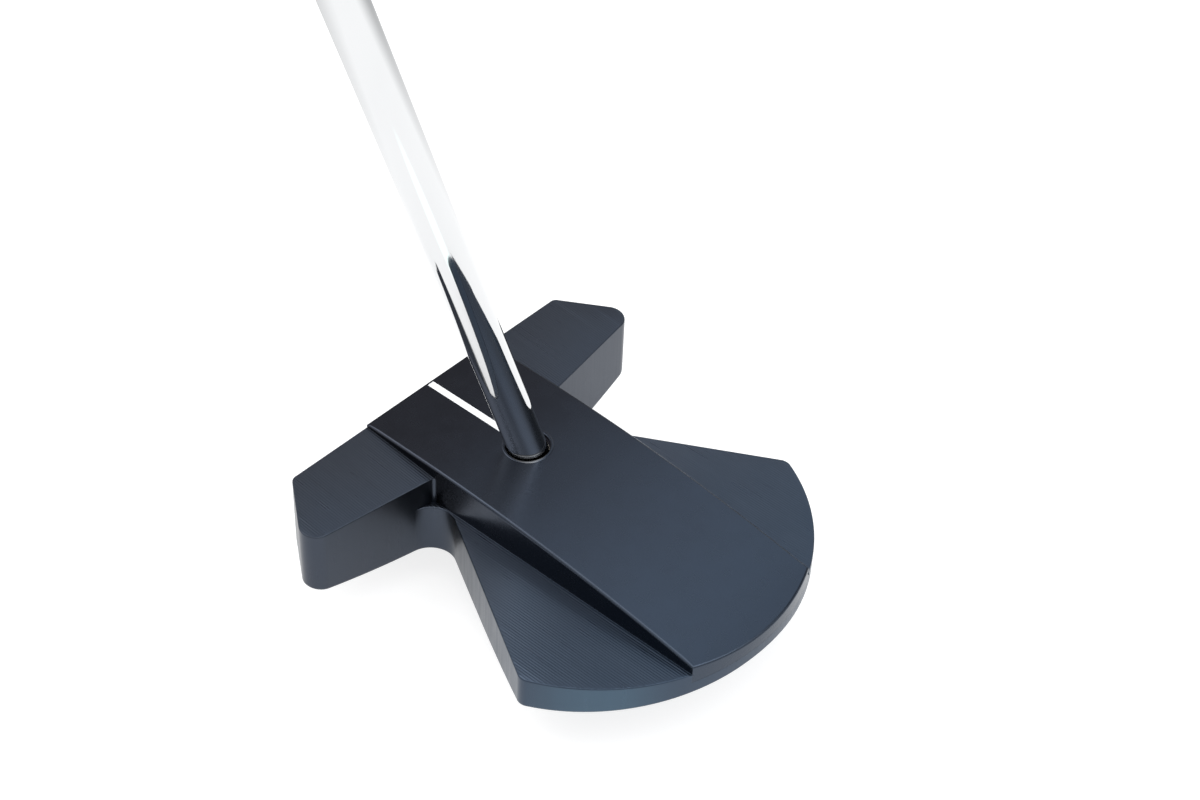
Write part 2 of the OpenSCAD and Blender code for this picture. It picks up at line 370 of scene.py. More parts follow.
def plan():
    """Outline at the height of the face's top edge, from the middle of the face to the middle
    of the rear, as four runs of (point, slide). A point moves by its slide for each millimetre
    that the lofted face goes back."""
    inner = Vector((CROWN_HALF, 0))
    face_corner = Vector((FACE_HALF, 0))
    bar = BAR_D + BAR_TAPER * BAR_X
    wing_y = (bar - BAR_TAPER * FACE_HALF) / (1 + BAR_TAPER * WING_FLARE)
    wing_corner = Vector((FACE_HALF + WING_FLARE * wing_y, wing_y))
    fan_x = FAN_HALF - FAN_FLARE * FAN_Y
    notch_y = (bar - BAR_TAPER * fan_x) / (1 + BAR_TAPER * FAN_FLARE)
    notch_corner = Vector((fan_x + FAN_FLARE * notch_y, notch_y))
    side = Vector((FAN_FLARE, 1)).normalized()
    out = Vector((side.y, -side.x))

    # The fan's corner is an arc that touches the side and the rear arc
    base = notch_corner - out * FAN_CORNER_R
    middle = Vector((0, REAR_Y))
    reach = REAR_R - FAN_CORNER_R
    along = (middle - base).dot(side)
    off = (base + side * along - middle).length
    centre = base + side * (along + math.sqrt(reach ** 2 - off ** 2))
    away = (centre - middle).normalized()
    first = math.atan2(out.y, out.x)
    last = math.atan2(away.y, away.x)
    fan_corner = [centre + FAN_CORNER_R * Vector((math.cos(a), math.sin(a)))
                  for a in [first + (last - first) * i / 8 for i in range(9)]]
    stop = math.acos(CROWN_HALF / REAR_R)
    arc = [middle + REAR_R * Vector((math.cos(a), math.sin(a)))
           for a in [last + (stop - last) * i / 28 for i in range(1, 29)]]
    end = [middle + REAR_R * Vector((math.cos(a), math.sin(a)))
           for a in [stop + (TAU / 4 - stop) * i / 10 for i in range(11)]]

    front_round = fillet(inner, face_corner, wing_corner, FACE_CORNER_R, 6)
    wing_round = fillet(face_corner, wing_corner, notch_corner, WING_CORNER_R, 12)
    notch = fillet(wing_corner, notch_corner, fan_corner[0], NOTCH_R, 20)

    flared = Vector((WING_FLARE, 1))
    straight = Vector((0, 1))
    still = Vector((0, 0))
    face_run = between(inner, front_round[0], 6)
    span = front_round[0].x - inner.x
    web_front = [(Vector((x, 0)), straight) for x in (0, 4, 8, 12, 16.5, CROWN_HALF)]
    wing = [(p, straight.lerp(flared, (p.x - inner.x) / span)) for p in face_run]
    wing += [(p, flared) for p in front_round]
    wing += [(p, still) for p in between(front_round[-1], wing_round[0], 5)[1:] + wing_round]
    wing += [(p, still) for p in between(wing_round[-1], notch[0], 8)[1:] + [notch[0]]]
    fan = [(p, still) for p in notch + between(notch[-1], fan_corner[0], 14)[1:] + fan_corner + arc]
    web_rear = [(p, still) for p in end]
    return web_front, wing, fan, web_rear


WEB_FRONT, WING, FAN, WEB_REAR = plan()
NOTCH_START = FAN[0][0]
BAR_WAY = Vector((-1, BAR_TAPER)).normalized()
BAR_IN = Vector((-BAR_WAY.y, BAR_WAY.x))


def placed(point, slide, z, inset=Vector((0, 0))):
    """A point of the outline at a height, on the lofted face, moved in by an inset."""
    back = (z - FACE_H) * LOFT
    return Vector((point.x + slide.x * back + inset.x, point.y + slide.y * back + inset.y, z))


def inward(points):
    """Unit normals of an outline, to the left of its way."""
    normals = []
    for i in range(len(points)):
        a = points[max(i - 1, 0)]
        b = points[min(i + 1, len(points) - 1)]
        way = (b - a).normalized()
        normals.append(Vector((-way.y, way.x)))
    return normals


# ---------------------------------------------------------------- head frame

def sole_skin(skin, rim):
    """The sole's surface inside its rounded rim, with points about 4 mm apart."""
    points = [Vector((p.x, p.y)) for p in rim]
    front, rear = points[0].y, points[-1].y
    count = 26
    points += [Vector((0, rear + (front - rear) * i / count)) for i in range(1, count)]
    edges = [(i, (i + 1) % len(points)) for i in range(len(points))]
    outline = list(points)
    for i in range(1, 15):
        for j in range(1, count):
            p = Vector((i * 4, rear + (front - rear) * j / count))
            if inside(p, outline, 1.5):
                points.append(p)
    found, _, faces, *_ = delaunay_2d_cdt(points, edges, [], 1, 1e-6)
    start = skin.add([(p.x, p.y, sole_z(p.x, p.y)) for p in found])[0]
    skin.faces += [tuple(start + i for i in face) for face in faces]


def inside(p, outline, margin):
    """Whether p is inside a closed outline and at least a margin from its edges."""
    crossings = 0
    for a, b in zip(outline, outline[1:] + outline[:1]):
        way = b - a
        t = min(1, max(0, (p - a).dot(way) / way.length_squared))
        if (p - a - way * t).length < margin:
            return False
        if (a.y > p.y) != (b.y > p.y) and p.x < a.x + way.x * (p.y - a.y) / way.y:
            crossings += 1
    return crossings % 2 == 1


def wing_inner():
    """The wing's rear edge from the notch to the crown, ending in a small cove."""
    to_crown = (CROWN_HALF - NOTCH_START.x) / BAR_WAY.x
    corner = NOTCH_START + BAR_WAY * to_crown
    cove = fillet(NOTCH_START, corner, corner + Vector((0, 10)), COVE_R, 6)
    return between(NOTCH_START, cove[0], 3) + cove


def frame_normals(outline, fan_from, fan_to, wing_from):
    """Inward ways of the outline, with the ends of each run kept on their neighbours' lines."""
    normals = inward([p for p, _ in outline])
    for i in range(wing_from + 1):
        normals[i] = Vector((0, 1))
    rear_in = Vector((0, REAR_Y)) - outline[fan_to][0]
    normals[fan_to] = Vector((0, REAR_R / rear_in.y))
    normals[fan_from] = BAR_IN
    normals[-1] = Vector((0, -1))
    return normals


def rim_and_wall(skin, outline, normals):
    """The sole with its rounded rim and the wall up to the web's height, all the way round."""
    rows = []
    for step in range(ROUND_STEPS, -1, -1):
        inset, drop = quarter(step)
        row = []
        for (p, slide), n in zip(outline, normals):
            move = n * inset * SOLE_EDGE
            at = placed(p, slide, 0, move)
            at = placed(p, slide, sole_z(at.x, at.y), move)
            at.z = sole_z(at.x, at.y) + drop * SOLE_EDGE
            row.append(at)
        rows.append(row)
    low = []
    for (p, slide), top in zip(outline, rows[-1]):
        low.append(placed(p, slide, max(web_z(p.y), top.z + 0.2)))
    skin.grid(rows + [low])
    sole_skin(skin, rows[0])
    return low


def wing_skin(skin, outline, normals, low, wing):
    """The wing's outer wall, its rear wall toward the crown, and its top."""
    outer_rows = [[low[i] for i in wing]]
    outer_rows.append([placed(*outline[i], max(FAN_H, low[i].z + 0.1)) for i in wing])
    for step in range(ROUND_STEPS + 1):
        inset, drop = quarter(step)
        row = []
        for i in wing:
            p, slide = outline[i]
            move = normals[i] * inset * WING_EDGE
            row.append(placed(p, slide, wing_z(p.y + move.y) - drop * WING_EDGE, move))
        outer_rows.append(row)
    skin.grid(outer_rows)
    inner = wing_inner()
    inner_in = inward(inner)
    inner_in[0] = BAR_IN
    sizes = [WING_EDGE * min(1, max(0, len(inner) - 6 - i) / 2) for i in range(len(inner))]
    inner_rows = [[Vector((p.x, p.y, FAN_H)) for p in inner]]
    for step in range(ROUND_STEPS + 1):
        inset, drop = quarter(step)
        row = []
        for p, n, size in zip(inner, inner_in, sizes):
            at = p + n * inset * size
            row.append(Vector((at.x, at.y, wing_z(at.y) - drop * size)))
        inner_rows.append(row)
    skin.grid(inner_rows)
    skin.face(outer_rows[-1] + inner_rows[-1][1:])
    return outer_rows, inner_rows


def fan_skin(skin, outline, normals, low, fan, inner_rows):
    """The fan's wall and its flat top, behind the wing."""
    rows = [[low[i] for i in fan]]
    sizes = []
    for i in fan:
        gap = (outline[i][0] - NOTCH_START).dot(-BAR_IN)
        sizes.append(min(FAN_EDGE, 0.8 * max(gap, 0)))
    for step in range(ROUND_STEPS + 1):
        inset, drop = quarter(step)
        row = []
        for i, size in zip(fan, sizes):
            move = normals[i] * (-1 if i == fan[-1] else 1) * inset * size
            row.append(placed(outline[i][0], outline[i][1], FAN_H - drop * size, move))
        rows.append(row)
    skin.grid(rows)
    skin.face(rows[-1] + list(reversed(inner_rows[0]))[:-1])
    return rows


def frame_shape():
    """The head frame before the milled lines and the holes are cut."""
    skin = Skin()
    outline = WEB_FRONT + WING[1:] + FAN[1:] + WEB_REAR[1:]
    wing_from = len(WEB_FRONT) - 1
    fan_from = wing_from + len(WING) - 1
    fan_to = fan_from + len(FAN) - 1
    normals = frame_normals(outline, fan_from, fan_to, wing_from)
    low = rim_and_wall(skin, outline, normals)
    wing = range(wing_from, fan_from + 1)
    outer_rows, inner_rows = wing_skin(skin, outline, normals, low, wing)
    fan = range(fan_from, fan_to + 1)
    fan_rows = fan_skin(skin, outline, normals, low, fan, inner_rows)

    # Pocket under the crown
    bend = Vector((CROWN_HALF, SOLE_Y, web_z(SOLE_Y)))
    side = [row[0] for row in outer_rows]
    side += [row[-1] for row in reversed(inner_rows)]
    side += [row[-1] for row in reversed(fan_rows)]
    skin.face(side + [bend])
    middle_bend = Vector((0, SOLE_Y, web_z(SOLE_Y)))
    skin.face(low[:wing_from + 1] + [bend, middle_bend])
    skin.face([bend] + low[fan_to:] + [middle_bend])
    skin.mirror()
    return skin.build("head_frame")


def spots():
    """Every weight's place: name, side and the point where its head sits."""
    found = []
    for joint in frame["joints"]:
        if joint["type"] == "hinge":
            name = joint["child"].removesuffix("_weight")
            found.append((name, Vector(joint["pos_m"]) / MM))
    return found


def comb(side, first, last, front, rear, height):
    """A slab with wavy underside that mills lines from front to rear into a sloping floor."""
    lift = 1.2
    count = round((last - first) / (MILL_PITCH / 4))
    across = [first + i * MILL_PITCH / 4 for i in range(count + 1)]
    wave = [-MILL_SKIM - MILL_DEPTH * (0, 0.5, 1, 0.5)[i % 4] for i in range(count + 1)]
    under_front = [Vector((x, front(x), height(front(x)) + w)) for x, w in zip(across, wave)]
    under_rear = [Vector((x, rear, height(rear) + w)) for x, w in zip(across, wave)]
    over_rear = [Vector((x, rear, height(rear) + lift)) for x in across]
    over_front = [Vector((x, front(x), height(front(x)) + lift)) for x in across]
    rows = [under_front, under_rear, over_rear, over_front, under_front]
    rows = [[Vector((side * p.x, p.y, p.z)) for p in row] for row in rows]
    skin = Skin()
    skin.grid(rows)
    skin.face([row[0] for row in rows[:4]])
    skin.face([row[-1] for row in rows[:4]])
    return skin.build("cutter")


def milling():
    """The lines over the wings and over the fans, which stop short of the wing's rear wall."""
    def behind_wing(x):
        clear = COVE_R + 0.3
        wall = BAR_D - BAR_TAPER * (x - BAR_X)
        return wall + (clear if x < CROWN_HALF + clear else 0.35)

    inner = CROWN_HALF - 0.1
    combs = []
    for side in (1, -1):
        combs.append(comb(side, inner, FACE_HALF + WING_FLARE * BAR_D + 2, lambda x: -2,
                          BAR_D + 4, wing_z))
        combs.append(comb(side, inner, CROWN_HALF + 33, behind_wing, REAR_Y + REAR_R + 2,
                          lambda y: FAN_H))
    return combs


def weight_seats():
    """Stepped holes for the sole weights."""
    cutters = []
    for _, at in spots():
        wide = WEIGHT_HEAD_R + 0.05
        narrow = WEIGHT_R + 0.05
        profile = [(wide + 0.8, -5), (wide + 0.8, -0.3), (wide, 0.15), (wide, 2.5), (narrow, 2.5),
                   (narrow, 10), (narrow - 1.2, 10.9)]
        cutters.append(capped(moved(lathe(profile, 72), at)).build("cutter"))
    return cutters


def screw_places():
    """Where the heads of the crown's screws sit."""
    return [Vector((side * x, y, sole_z(x, y) + SPOT_DROP))
            for x, y in SCREW_SPOTS for side in (1, -1)]


def screw_sinks():
    """Countersunk holes for the crown's screws."""
    cutters = []
    for at in screw_places():
        wide = SCREW_HEAD_R + 0.05
        profile = [(wide + 0.4, -5), (wide + 0.4, -0.2), (wide, 0), (SCREW_R + 0.05, SCREW_SINK),
                   (SCREW_R + 0.05, 9.4)]
        cutters.append(capped(moved(lathe(profile, 48), at)).build("cutter"))
    return cutters


# ---------------------------------------------------------------- crown block

def crown_shape():
    """The crown block, with a rounded top edge, before its bore and slot are cut."""
    skin = Skin()
    stations = [0, 0.8, 2, 4] + list(range(8, 97, 4)) + [98, 99.4, 100.6, WEB_REAR[0][0].y]
    stations = sorted(stations + [SOLE_Y])
    front = [(Vector((x, 0)), Vector((0, 1))) for x in (0, 7, 14, CROWN_HALF - 2)]
    still = Vector((0, 0))
    sides = [(Vector((CROWN_HALF, y)), still) for y in stations[1:-1]]
    rear = [(p, still) for p, _ in WEB_REAR[1:]]
    corner_a = (Vector((CROWN_HALF, 0)), Vector((0, 1)))
    corner_b = (WEB_REAR[0][0], still)
    outline = front + [corner_a] + sides + [corner_b] + rear
    radial = (Vector((0, REAR_Y)) - corner_b[0]) / REAR_R
    moves = [Vector((0, 1))] * len(front) + [Vector((-1, 1))]
    moves += [Vector((-1, 0))] * len(sides)
    moves += [Vector((-1, (1 + radial.x) / radial.y))]
    moves += [(Vector((0, REAR_Y)) - p).normalized() for p, _ in rear]
    sizes = [CROWN_EDGE] * (len(front) + 1)
    for p, _ in sides:
        ease = math.sin(min(1, p.y / 4, (stations[-1] - p.y) / 4) * TAU / 4)
        end = CROWN_EDGE if p.y < REAR_Y else CROWN_REAR_EDGE
        sizes.append(end + (CROWN_SIDE_EDGE - end) * ease)
    sizes += [CROWN_REAR_EDGE] * (len(rear) + 1)

    rows = [[placed(p, s, web_z(p.y) + 0.04) for p, s in outline]]
    for step in range(ROUND_STEPS + 2):
        turn = step / (ROUND_STEPS + 1) * TAU / 4
        row = []
        for (p, s), move, size in zip(outline, moves, sizes):
            inset = move * (1 - math.cos(turn)) * size
            z = crown_z(p.y + inset.y) - (1 - math.sin(turn)) * size
            row.append(placed(p, s, z, inset))
        rows.append(row)
    skin.grid(rows)

    top = rows[-1]
    first = len(front)
    last = first + len(sides) + 1
    centre = [Vector((0, top[i].y, top[i].z)) for i in range(first, last + 1)]
    skin.face(top[:first + 2] + [centre[1]])
    for i in range(first + 1, last):
        a, b = i - first, i - first + 1
        skin.face([top[i], top[i + 1], centre[b], centre[a]])
    skin.face(top[last:] + [centre[-1]])

    floor = rows[0]
    bend = next(i for i, p in enumerate(floor) if p.y > SOLE_Y - 0.1)
    middle = Vector((0, floor[bend].y, floor[bend].z))
    skin.face(floor[:bend + 1] + [middle])
    skin.face(floor[bend:] + [middle])
    skin.mirror()
    return skin.build("crown_block")


def tilted_ring(radius, drop, count=96):
    """Where a cylinder round the shaft's axis meets the crown, lowered by a drop."""
    points = []
    for i in range(count):
        turn = TAU * i / count
        p = MOUTH_FOOT + (ACROSS * math.cos(turn) + BESIDE * math.sin(turn)) * radius
        points.append(p + AXIS * (crown_z(p.y) - drop - p.z) / AXIS.z)
    return points


def rim_bead():
    """The low rounded lip round the bore's mouth."""
    count = 82
    sections = [tilted_ring(MOUTH_R + 0.12, 1, count)]
    for step in range(9):
        turn = TAU / 2 * (1 - step / 8)
        radius = BEAD_R + BEAD_W * math.cos(turn)
        sections.append(tilted_ring(radius, 0.03 - BEAD_H * math.sin(turn), count))
    sections.append(tilted_ring(BEAD_R + BEAD_W - 0.05, 1, count))
    sections.append(sections[0])
    skin = Skin()
    skin.grid(sections, closed=True)
    return skin.build("cutter")


def bore():
    """The shaft's bore, with a wider mouth and a rounded rim."""
    edge = 0.3
    rows = [tilted_ring(MOUTH_R + edge, -2), tilted_ring(MOUTH_R + edge, -0.06)]
    for step in range(1, 5):
        turn = step / 4 * TAU / 4
        rows.append(tilted_ring(MOUTH_R + edge * (1 - math.sin(turn)), edge * (1 - math.cos(turn))))
    rows += moved(along_shaft([ring(MOUTH_R, -MOUTH_DEPTH, 96)]), -ACROSS * MOUTH_SHIFT)
    rows += along_shaft([ring(BORE_R, -MOUTH_DEPTH, 96), ring(BORE_R, -BORE_DEPTH, 96)])
    return capped(rows).build("cutter")


def strip_rows(half, lift_low, lift_high, edge=0.0):
    """Sections of a bar that follows the crown along the alignment line."""
    low, high = line_low.y, line_high.y
    rows = []
    count = 14
    for i in range(count + 1):
        y = low + edge + (high - low - 2 * edge) * i / count
        z = crown_z(y)
        rows.append([Vector((x, y, z + lift)) for x, lift in
                     ((-half, lift_low), (half, lift_low), (half, lift_high - edge),
                      (half - edge, lift_high), (edge - half, lift_high), (-half, lift_high - edge))])
    return rows


def line_groove():
    """The slot for the line, 0.3 mm deep."""
    half = (line_high.x - line_low.x) / 2
    rows = [[p for k, p in enumerate(row) if k not in (2, 5)] for row in strip_rows(half, -0.3, 1)]
    return capped(rows).build("cutter")


def line_paint():
    """The paint that fills the slot to just under the crown."""
    half = (line_high.x - line_low.x) / 2 - 0.01
    return capped(strip_rows(half, -0.29, -0.03, 0.05)).build("line_paint")


# ---------------------------------------------------------------- shaft and grip

def shaft_shape():
    """The stepped tube: each step widens it over 1 mm."""
    outer = [(TIP_R - 0.2, TIP_AT), (TIP_R, TIP_AT + 0.3)]
    z = TIP_AT
    for k in range(STEPS + 1):
        r = TIP_R + STEP_UP * k
        start = TIP_AT + TIP_LEN + STEP_LEN * (k - 1) if k else TIP_AT
        end = TIP_AT + TIP_LEN + STEP_LEN * k - 1 if k < STEPS else TIP_AT + SHAFT_LEN
        if k:
            outer += [(r - STEP_UP * (1 + math.cos(math.pi * i / 4)) / 2, start - 1 + i / 4)
                      for i in range(1, 4)]
            outer.append((r, start))
        outer += [(r, start + (end - start) * i / 6) for i in range(1, 7)]
        z = end
    bore_r = TIP_R - TUBE_WALL
    inner = [(outer[-1][0] - TUBE_WALL, z), (bore_r, TIP_AT + TIP_LEN), (bore_r, TIP_AT)]
    skin = Skin()
    skin.grid(along_shaft(lathe(outer + inner + [outer[0]], 128)), closed=True)
    return skin.build("shaft_tube")


def ribs(z, turn):
    """Depth of the grip's cross ribs, at a height and an angle from the flat side."""
    depth = 0.0
    for low, high in RIB_ZONES:
        depth = max(depth, min(1, max(0, z - low) / 3, max(0, high - z) / 3))
    side = min(1, max(0, (abs(turn) - 0.95) / 0.22))
    wave = 0.5 - 0.5 * math.cos(TAU * z / RIB_PITCH)
    return RIB_DEPTH * depth * side * wave


def grip_section(z, count=96):
    """The grip's round section with a flat for the thumbs."""
    radius = GRIP_MOUTH_R + (GRIP_BUTT_R - GRIP_MOUTH_R) * z / GRIP_LEN
    lip = math.exp(-(z / 1.4) ** 2) * 0.9
    points = []
    for i in range(count):
        turn = TAU * i / count
        from_flat = (turn % TAU) - math.pi
        cosine = max(math.cos(from_flat), 0.05)
        flat = GRIP_FLAT / cosine
        blend = 14
        r = (radius ** -blend + flat ** -blend) ** (-1 / blend)
        r -= ribs(z, from_flat) + lip
        points.append(Vector((r * math.cos(turn), r * math.sin(turn), GRIP_AT + z)))
    return points


def grip_shape():
    """The ribbed sleeve, with sections close together where the ribs are."""
    heights = [0, 0.4, 1, 1.8, 3, 5, 8, 12, 16, 20]
    z = 22.0
    while z < 238:
        heights.append(z)
        z += 0.8
    heights += [240, 245, 252, 260, 264, GRIP_LEN - 0.6, GRIP_LEN]
    bore_r = TIP_R + STEP_UP * STEPS + 0.25
    rows = [grip_section(z) for z in heights]
    rows.append([p * 0.985 + Vector((0, 0, p.z * 0.015)) for p in rows[-1]])
    rows += [ring(bore_r, GRIP_AT + GRIP_LEN, 96), ring(bore_r, GRIP_AT, 96), rows[0]]
    skin = Skin()
    skin.grid(along_shaft(rows), closed=True)
    return skin.build("grip_sleeve")


def cap_shape():
    """The butt cap, with a plug in the shaft and a shallow ring on its top."""
    top = GRIP_AT + GRIP_LEN

    def section(shrink, z):
        return [Vector((p.x, p.y, 0)) * (1 - shrink / p.xy.length) + Vector((0, 0, z))
                for p in grip_section(GRIP_LEN)]

    plug = 6.2
    rows = [ring(1.2, top - 6, 96), ring(plug, top - 6, 96), ring(plug, top + 0.02, 96),
            section(0.5, top + 0.02), section(0.25, top + 0.12), section(0.25, top + 0.9),
            section(0.45, top + 1.5), section(0.95, top + 2.2), section(1.7, top + 2.7),
            section(2.8, top + 2.95), section(4.2, top + 3), ring(6.4, top + 3, 96),
            ring(6.2, top + 2.7, 96), ring(5.6, top + 2.7, 96), ring(5.4, top + 3, 96),
            ring(1.6, top + 3, 96), ring(1.2, top + 2.7, 96), ring(1.2, top - 6, 96)]
    skin = Skin()
    skin.grid(along_shaft(rows), closed=True)
    return skin.build("butt_cap")


# ---------------------------------------------------------------- weights, washers and screws

def thread_ring(z, count=60):
    """A ring of the weight's threaded body."""
    depth = 0.32
    lead = min(1, max(0, (WEIGHT_TOP - 0.5 - z) / 0.8))
    points = []
    for i in range(count):
        turn = i / count
        phase = (z / THREAD_PITCH - turn) % 1
        r = WEIGHT_R - 0.02 - depth * abs(2 * phase - 1) * lead - (1 - lead) * depth
        points.append(Vector((r * math.cos(TAU * turn), r * math.sin(TAU * turn), z)))
    return points


def weight_shape(name, at):
    """A sole weight: hex socket, grooved head and threaded body."""
    rows = [ring(0.4, KEY_DEPTH + 0.5), hex_ring(KEY_R, KEY_DEPTH), hex_ring(KEY_R, 0.35),
            hex_ring(KEY_R + 0.35, 0), ring(KEY_R + 1.1, 0), ring(KEY_R + 1.25, 0.12),
            ring(WEIGHT_HEAD_R - 1.15, 0.12), ring(WEIGHT_HEAD_R - 1, 0),
            ring(WEIGHT_HEAD_R - 0.4, 0), ring(WEIGHT_HEAD_R - 0.1, 0.12),
            ring(WEIGHT_HEAD_R, 0.42), ring(WEIGHT_HEAD_R, WEIGHT_HEAD_T - 0.1),
            ring(WEIGHT_HEAD_R - 0.1, WEIGHT_HEAD_T), ring(WEIGHT_R - 0.4, WEIGHT_HEAD_T),
            ring(WEIGHT_R - 0.45, WEIGHT_HEAD_T + 0.5)]
    z = WEIGHT_HEAD_T + 0.6
    while z < WEIGHT_TOP - 0.15:
        rows.append(thread_ring(z))
        z += THREAD_PITCH / 8
    rows += [ring(WEIGHT_R - 0.6, WEIGHT_TOP), ring(0.6, WEIGHT_TOP)]
    return capped(moved(rows, at)).build(name)


def washer_shape(name, at):
    """The seal between a weight's head and its seat."""
    low = WEIGHT_HEAD_T + WASHER_GAP
    high = WEIGHT_HEAD_T + (washer_high.z - washer_low.z) - WASHER_GAP
    outer = WEIGHT_HEAD_R - 0.2
    inner = WEIGHT_R + 0.05
    b = 0.12
    profile = [(outer - b, low), (outer, low + b), (outer, high - b), (outer - b, high),
               (inner + b, high), (inner, high - b), (inner, low + b), (inner + b, low),
               (outer - b, low)]
    skin = Skin()
    skin.grid(moved(lathe(profile), at), closed=True)
    return skin.build(name)


def screws_shape():
    """The four screws that hold the crown block."""
    skin = Skin()
    for at in screw_places():
        rows = [ring(0.2, 1.3), hex_ring(1.4, 1.15), hex_ring(1.4, 0.15), hex_ring(1.55, 0),
                ring(2.4, 0), ring(SCREW_HEAD_R - 0.2, 0), ring(SCREW_HEAD_R, 0.12),
                ring(SCREW_HEAD_R - 0.05, 0.25), ring(SCREW_R, SCREW_SINK), ring(SCREW_R, 8.6),
                ring(SCREW_R - 0.4, 9)]
        capped(moved(rows, at), skin)
    return skin.build("crown_screws")


# ---------------------------------------------------------------- materials

class Nodes:
    """The nodes of a new material or world, with short calls to add and link them."""

    def __init__(self, name, kind="materials"):
        self.owner = getattr(bpy.data, kind).new(name)
        self.owner.use_nodes = True
        self.tree = self.owner.node_tree
        self.shader = self.tree.nodes.get("Principled BSDF")

    def add(self, kind, **values):
        node = self.tree.nodes.new(kind)
        for key, value in values.items():
            if hasattr(node, key):
                setattr(node, key, value)
            else:
                node.inputs[key.replace("_", " ").title()].default_value = value
        return node

    def link(self, a, output, b, socket):
        self.tree.links.new(a.outputs[output], b.inputs[socket])

    def position(self, scale=(1, 1, 1), away=(0, 0, 0)):
        """Places in the piece's own frame, in metres, which move with the piece."""
        where = self.add("ShaderNodeTexCoord")
        mapping = self.add("ShaderNodeMapping", scale=scale)
        mapping.inputs["Location"].default_value = away
        self.link(where, "Object", mapping, "Vector")
        return mapping

    def parts(self, source, output):
        """The three numbers of a vector, as outputs X, Y and Z."""
        split = self.add("ShaderNodeSeparateXYZ")
        self.link(source, output, split, "Vector")
        return split

    def times(self, a, a_output, b, b_output):
        """The product of two values."""
        product = self.add("ShaderNodeMath", operation="MULTIPLY")
        self.link(a, a_output, product, 0)
        self.link(b, b_output, product, 1)
        return product

    def reach(self, place):
        """How far a place is from its frame's origin."""
        length = self.add("ShaderNodeVectorMath", operation="LENGTH")
        self.link(place, "Vector", length, 0)
        return length

    def noise(self, scale, detail=4, stretch=(1, 1, 1)):
        """Cloudy noise; a stretch above 1 draws it thin along that axis."""
        noise = self.add("ShaderNodeTexNoise", scale=scale, detail=detail)
        self.link(self.position(stretch), "Vector", noise, "Vector")
        return noise

    def spread(self, source, output, low, high, from_low=0.3, from_high=0.7):
        """The source's value, spread over a range."""
        spread = self.add("ShaderNodeMapRange", from_min=from_low, from_max=from_high,
                          to_min=low, to_max=high)
        self.link(source, output, spread, "Value")
        return spread

    def step(self, source, output, start, end):
        """A smooth step from 0 at the start to 1 at the end."""
        step = self.spread(source, output, 0, 1, start, end)
        step.interpolation_type = "SMOOTHSTEP"
        return step

    def mix_colour(self, source, output, low, high):
        """A colour between two, by the source's value."""
        mix = self.add("ShaderNodeMix", data_type="RGBA")
        self.tree.links.new(source.outputs[output], mix.inputs[0])
        for socket, value in zip([s for s in mix.inputs if s.type == "RGBA"], (low, high)):
            socket.default_value = (*value, 1)
        return mix

    def rearward(self, front, rear):
        """A colour that changes from the face to the rear of the head, a little unevenly."""
        place = self.parts(self.position(), "Vector")
        uneven = self.spread(self.noise(40, 5), "Fac", -0.008, 0.008)
        back = self.add("ShaderNodeMath", operation="ADD")
        self.link(place, "Y", back, 0)
        self.link(uneven, "Result", back, 1)
        share = self.spread(back, "Value", 0, 1, 0, HEAD_REAR)
        return self.mix_colour(share, "Result", front, rear)

    def over(self, under, factor, output, colour):
        """One colour laid over another mix's colour, as far as the factor says."""
        mix = self.mix_colour(factor, output, colour, colour)
        low = next(socket for socket in mix.inputs if socket.type == "RGBA")
        self.tree.links.new(under.outputs[self.colour_out(under)], low)
        return mix

    def shaded(self, source, output, share):
        """The colour, darker where another shiny surface mirrors it."""
        seen = self.add("ShaderNodeLightPath")
        mirrored = self.spread(seen, "Is Glossy Ray", 1, share, 0, 1)
        dim = self.add("ShaderNodeVectorMath", operation="SCALE")
        self.link(source, output, dim, 0)
        self.link(mirrored, "Result", dim, "Scale")
        self.link(dim, "Vector", self.shader, "Base Color")

    def colour(self, mix):
        """Uses a mix as the shader's colour."""
        self.link(mix, self.colour_out(mix), self.shader, "Base Color")

    @staticmethod
    def colour_out(mix):
        return next(i for i, s in enumerate(mix.outputs) if s.type == "RGBA")

    def rough(self, source, output, low, high):
        """Spreads a value over a range of roughness."""
        self.link(self.spread(source, output, low, high), "Result", self.shader, "Roughness")

    def bump(self, source, output, strength, distance):
        """Fine relief, too small for the mesh."""
        bump = self.add("ShaderNodeBump", strength=strength, distance=distance)
        self.link(source, output, bump, "Height")
        self.link(bump, "Normal", self.shader, "Normal")

    def set(self, **values):
        for key, value in values.items():
            self.shader.inputs[key.replace("_", " ").title()].default_value = value


# Navy finish: painted sheen on the fans' flat tops, the share of the colour that shows in reflections
# (a painted darker reflection), a painted highlight on the bore's rim and painted shade inside the
# bore
FAN_SHEEN_FRONT = (2.2, 2.15, 2.1)
FAN_SHEEN_REAR = (1.22, 1.2, 1.18)
FAN_TOP = ((FAN_H + 0.3) * MM, (FAN_H + 0.8) * MM)
FLAT_FROM = (0.85, 0.95)
FRAME_MIRRORED = 0.35
CROWN_MIRRORED = 0.7
HEAD_REAR = 0.095
RIM_HIGHLIGHT_TONE = (0.15, 0.155, 0.165)
BORE_SHADE_TONE = (0.006, 0.006, 0.008)
RIM_HIGHLIGHT_SIDE = Vector((0.8, 0.65, 0))


def band(nodes, centre, radius, width):
    """1 within a width of a circle round an upright line, and 0 elsewhere."""
    reach = nodes.reach(nodes.position((1, 1, 0), (-centre.x * MM, -centre.y * MM, 0)))
    near = nodes.add("ShaderNodeMath", operation="COMPARE")
    nodes.link(reach, "Value", near, 0)
    near.inputs[1].default_value = radius * MM
    near.inputs[2].default_value = width * MM
    return near


